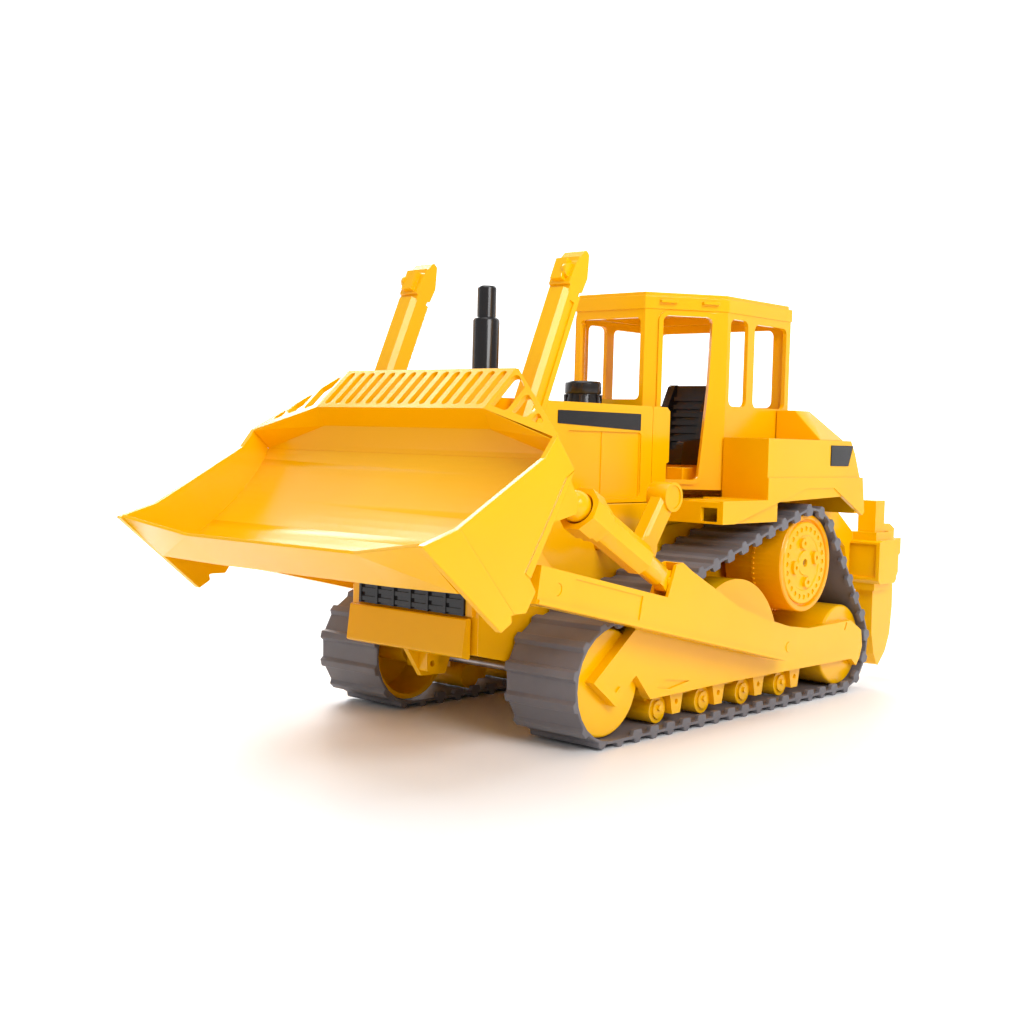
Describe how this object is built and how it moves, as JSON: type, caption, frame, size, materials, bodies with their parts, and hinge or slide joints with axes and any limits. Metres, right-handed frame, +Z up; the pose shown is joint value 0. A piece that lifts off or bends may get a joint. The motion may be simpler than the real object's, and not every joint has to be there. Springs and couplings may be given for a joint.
{
  "type": "toy bulldozer",
  "caption": "Toy bulldozer with crawler tracks, a wide lifting blade with a slotted guard, an open cab, sliding lift bars and a hinged rear ripper.",
  "frame": {"origin": "middle of the overall length and width, on the ground plane under the tracks", "axes": "+Z up, -Y forwards to the blade, +X to the driver's left; X = 0 is the plane of symmetry"},
  "size_m": [0.1928, 0.429, 0.2158],
  "materials": {
    "body_plastic": "satin gloss",
    "drum_plastic": "satin gloss",
    "black_plastic": "semi gloss",
    "belt_rubber": "matte",
    "steel_pins": "brushed"
  },
  "bodies": {
    "chassis": {"chassis_tub": "body_plastic", "belly_plate": "body_plastic", "hood_shell": "body_plastic", "side_stripes": "black_plastic", "front_bumper": "body_plastic", "radiator_grille": "black_plastic", "tow_hook": "body_plastic", "exhaust_stack": "black_plastic", "pre_cleaner": "black_plastic", "cab_shell": "body_plastic", "cab_roof": "body_plastic", "cab_floor": "body_plastic", "seat": "black_plastic", "rear_body": "body_plastic", "rear_deck": "body_plastic", "tank_badges": "black_plastic", "front_axle": "steel_pins", "drive_axle": "steel_pins", "rear_axle": "steel_pins", "track_frame_left": "body_plastic", "track_frame_right": "body_plastic", "roller_row_left": "body_plastic", "roller_row_right": "body_plastic", "recoil_cover_left": "body_plastic", "recoil_cover_right": "body_plastic", "track_belt_left": "belt_rubber", "track_belt_right": "belt_rubber", "ripper_pins": "steel_pins", "body_screws": "steel_pins"},
    "lift_arms": {"push_arm_left": "body_plastic", "push_arm_right": "body_plastic"},
    "blade": {"blade_shell": "body_plastic", "rock_guard": "body_plastic", "blade_end_left": "body_plastic", "blade_end_right": "body_plastic", "cutting_edge": "body_plastic", "blade_mounts": "body_plastic"},
    "ripper": {"ripper_frame": "body_plastic", "ripper_shanks": "body_plastic"},
    "brace_sleeve_left": {"brace_sleeve_left": "body_plastic"},
    "brace_rod_left": {"brace_rod_left": "body_plastic"},
    "bar_guide_left": {"bar_guide_left": "body_plastic"},
    "lift_bar_left": {"lift_bar_left": "body_plastic"},
    "lift_lever_left": {"lift_lever_left": "body_plastic"},
    "front_idler_left": {"front_idler_left": "body_plastic"},
    "rear_idler_left": {"rear_idler_left": "body_plastic"},
    "drive_drum_left": {"drive_drum_left": "drum_plastic", "drum_cap_left": "body_plastic"},
    "brace_sleeve_right": {"brace_sleeve_right": "body_plastic"},
    "brace_rod_right": {"brace_rod_right": "body_plastic"},
    "bar_guide_right": {"bar_guide_right": "body_plastic"},
    "lift_bar_right": {"lift_bar_right": "body_plastic"},
    "lift_lever_right": {"lift_lever_right": "body_plastic"},
    "front_idler_right": {"front_idler_right": "body_plastic"},
    "rear_idler_right": {"rear_idler_right": "body_plastic"},
    "drive_drum_right": {"drive_drum_right": "drum_plastic", "drum_cap_right": "body_plastic"}
  },
  "joints": [
    {"name": "blade_lift", "type": "hinge", "parent": "chassis", "child": "lift_arms", "pos_m": [0, 0.0435, 0.034], "axis": [-1, 0, 0], "range_deg": [-13.5, 0.5]},
    {"name": "blade_pitch", "type": "hinge", "parent": "lift_arms", "child": "blade", "pos_m": [0, -0.1355, 0.0735], "axis": [-1, 0, 0], "range_deg": [-13, 1.5]},
    {"name": "ripper_lift", "type": "hinge", "parent": "chassis", "child": "ripper", "pos_m": [0, 0.1415, 0.1], "axis": [1, 0, 0], "range_deg": [-5, 35]},
    {"name": "bar_swivel_left", "type": "hinge", "parent": "chassis", "child": "bar_guide_left", "pos_m": [0.047, -0.1112, 0.13], "axis": [-1, 0, 0], "range_deg": [-7.5, 0.5]},
    {"name": "bar_slide_left", "type": "slide", "parent": "bar_guide_left", "child": "lift_bar_left", "axis": [0, 0.3951, 0.9186], "range_m": [-0.0425, 0.002]},
    {"name": "brace_swivel_left", "type": "hinge", "parent": "lift_arms", "child": "brace_rod_left", "pos_m": [0.0872, -0.0565, 0.072], "axis": [-1, 0, 0], "range_deg": [-1, 0.2]},
    {"name": "brace_slide_left", "type": "slide", "parent": "brace_rod_left", "child": "brace_sleeve_left", "axis": [0, -0.8822, 0.4709], "range_m": [-0.001, 0.0081]},
    {"name": "lever_swing_left", "type": "hinge", "parent": "chassis", "child": "lift_lever_left", "pos_m": [0.059, -0.0435, 0.084], "axis": [1, 0, 0], "range_deg": [-12, 18]},
    {"name": "drum_spin_left", "type": "hinge", "parent": "chassis", "child": "drive_drum_left", "pos_m": [0.06, 0.0839, 0.0723], "axis": [1, 0, 0], "continuous": true},
    {"name": "front_idler_spin_left", "type": "hinge", "parent": "chassis", "child": "front_idler_left", "pos_m": [0.06, -0.0815, 0.028], "axis": [1, 0, 0], "continuous": true},
    {"name": "rear_idler_spin_left", "type": "hinge", "parent": "chassis", "child": "rear_idler_left", "pos_m": [0.06, 0.1255, 0.0258], "axis": [1, 0, 0], "continuous": true},
    {"name": "bar_swivel_right", "type": "hinge", "parent": "chassis", "child": "bar_guide_right", "pos_m": [-0.047, -0.1112, 0.13], "axis": [-1, 0, 0], "range_deg": [-7.5, 0.5]},
    {"name": "bar_slide_right", "type": "slide", "parent": "bar_guide_right", "child": "lift_bar_right", "axis": [0, 0.3951, 0.9186], "range_m": [-0.0425, 0.002]},
    {"name": "brace_swivel_right", "type": "hinge", "parent": "lift_arms", "child": "brace_rod_right", "pos_m": [-0.0872, -0.0565, 0.072], "axis": [-1, 0, 0], "range_deg": [-1, 0.2]},
    {"name": "brace_slide_right", "type": "slide", "parent": "brace_rod_right", "child": "brace_sleeve_right", "axis": [0, -0.8822, 0.4709], "range_m": [-0.001, 0.0081]},
    {"name": "lever_swing_right", "type": "hinge", "parent": "chassis", "child": "lift_lever_right", "pos_m": [-0.059, -0.0435, 0.084], "axis": [1, 0, 0], "range_deg": [-12, 18]},
    {"name": "drum_spin_right", "type": "hinge", "parent": "chassis", "child": "drive_drum_right", "pos_m": [-0.06, 0.0839, 0.0723], "axis": [1, 0, 0], "continuous": true},
    {"name": "front_idler_spin_right", "type": "hinge", "parent": "chassis", "child": "front_idler_right", "pos_m": [-0.06, -0.0815, 0.028], "axis": [1, 0, 0], "continuous": true},
    {"name": "rear_idler_spin_right", "type": "hinge", "parent": "chassis", "child": "rear_idler_right", "pos_m": [-0.06, 0.1255, 0.0258], "axis": [1, 0, 0], "continuous": true}
  ],
  "couplings": [
    {"joint": "bar_swivel_left", "follows": "blade_lift", "ratio": 0.537},
    {"joint": "bar_slide_left", "follows": "blade_lift", "m_per_rad": 0.1779},
    {"joint": "brace_swivel_left", "follows": "blade_pitch", "ratio": 0.06},
    {"joint": "brace_slide_left", "follows": "blade_pitch", "m_per_rad": -0.0354},
    {"joint": "front_idler_spin_left", "follows": "drum_spin_left", "ratio": 1.1143},
    {"joint": "rear_idler_spin_left", "follows": "drum_spin_left", "ratio": 1.2242},
    {"joint": "bar_swivel_right", "follows": "blade_lift", "ratio": 0.537},
    {"joint": "bar_slide_right", "follows": "blade_lift", "m_per_rad": 0.1779},
    {"joint": "brace_swivel_right", "follows": "blade_pitch", "ratio": 0.06},
    {"joint": "brace_slide_right", "follows": "blade_pitch", "m_per_rad": -0.0354},
    {"joint": "front_idler_spin_right", "follows": "drum_spin_right", "ratio": 1.1143},
    {"joint": "rear_idler_spin_right", "follows": "drum_spin_right", "ratio": 1.2242}
  ]
}
